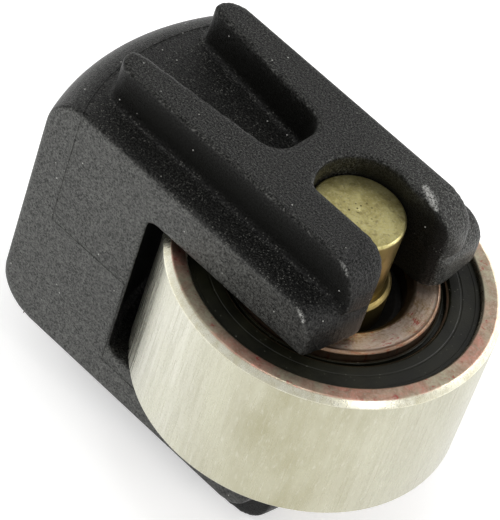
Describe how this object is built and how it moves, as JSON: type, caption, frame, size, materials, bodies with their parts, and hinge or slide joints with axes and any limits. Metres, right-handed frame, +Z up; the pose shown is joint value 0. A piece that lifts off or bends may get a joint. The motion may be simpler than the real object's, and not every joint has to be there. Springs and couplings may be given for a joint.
{
  "type": "cam follower",
  "caption": "Sealed ball-bearing roller on a fixed pin in a moulded plastic fork, which slides in a guide and follows a cam.",
  "frame": {"origin": "centre of the bounding box's base, on the plane through the lower rib tops that the part rests on", "axes": "+X from the bowed back out of the fork's open end, +Y across the fork, +Z up along the roller's axis"},
  "size_m": [0.0502, 0.035, 0.04],
  "materials": {
    "moulded_plastic": "fine grain satin",
    "passivated_steel": "yellow passivated, turned",
    "bush_plastic": "matte",
    "inner_ring_steel": "ground, lightly stained",
    "ground_steel": "ground",
    "seal_rubber": "satin",
    "core_steel": "plain",
    "cage_plastic": "plain",
    "ball_steel": "polished"
  },
  "bodies": {
    "fork_set": {"fork_body": "moulded_plastic", "roller_pin": "passivated_steel", "bore_bush": "bush_plastic", "inner_ring": "inner_ring_steel"},
    "roller": {"outer_ring": "ground_steel", "seal_upper": "seal_rubber", "seal_lower": "seal_rubber", "seal_core_upper": "core_steel", "seal_core_lower": "core_steel"},
    "ball_row_upper": {"cage_upper": "cage_plastic", "ball_upper_01": "ball_steel", "ball_upper_02": "ball_steel", "ball_upper_03": "ball_steel", "ball_upper_04": "ball_steel", "ball_upper_05": "ball_steel", "ball_upper_06": "ball_steel", "ball_upper_07": "ball_steel", "ball_upper_08": "ball_steel", "ball_upper_09": "ball_steel", "ball_upper_10": "ball_steel"},
    "ball_row_lower": {"cage_lower": "cage_plastic", "ball_lower_01": "ball_steel", "ball_lower_02": "ball_steel", "ball_lower_03": "ball_steel", "ball_lower_04": "ball_steel", "ball_lower_05": "ball_steel", "ball_lower_06": "ball_steel", "ball_lower_07": "ball_steel", "ball_lower_08": "ball_steel", "ball_lower_09": "ball_steel", "ball_lower_10": "ball_steel"}
  },
  "joints": [
    {"name": "roller_spin", "type": "hinge", "parent": "fork_set", "child": "roller", "pos_m": [0.00765, 0, 0.02], "axis": [0, 0, 1], "continuous": true},
    {"name": "ball_row_upper_spin", "type": "hinge", "parent": "fork_set", "child": "ball_row_upper", "pos_m": [0.00765, 0, 0.02], "axis": [0, 0, 1], "continuous": true},
    {"name": "ball_row_lower_spin", "type": "hinge", "parent": "fork_set", "child": "ball_row_lower", "pos_m": [0.00765, 0, 0.02], "axis": [0, 0, 1], "continuous": true}
  ],
  "couplings": [
    {"joint": "ball_row_upper_spin", "follows": "roller_spin", "ratio": 0.594},
    {"joint": "ball_row_lower_spin", "follows": "roller_spin", "ratio": 0.594}
  ]
}
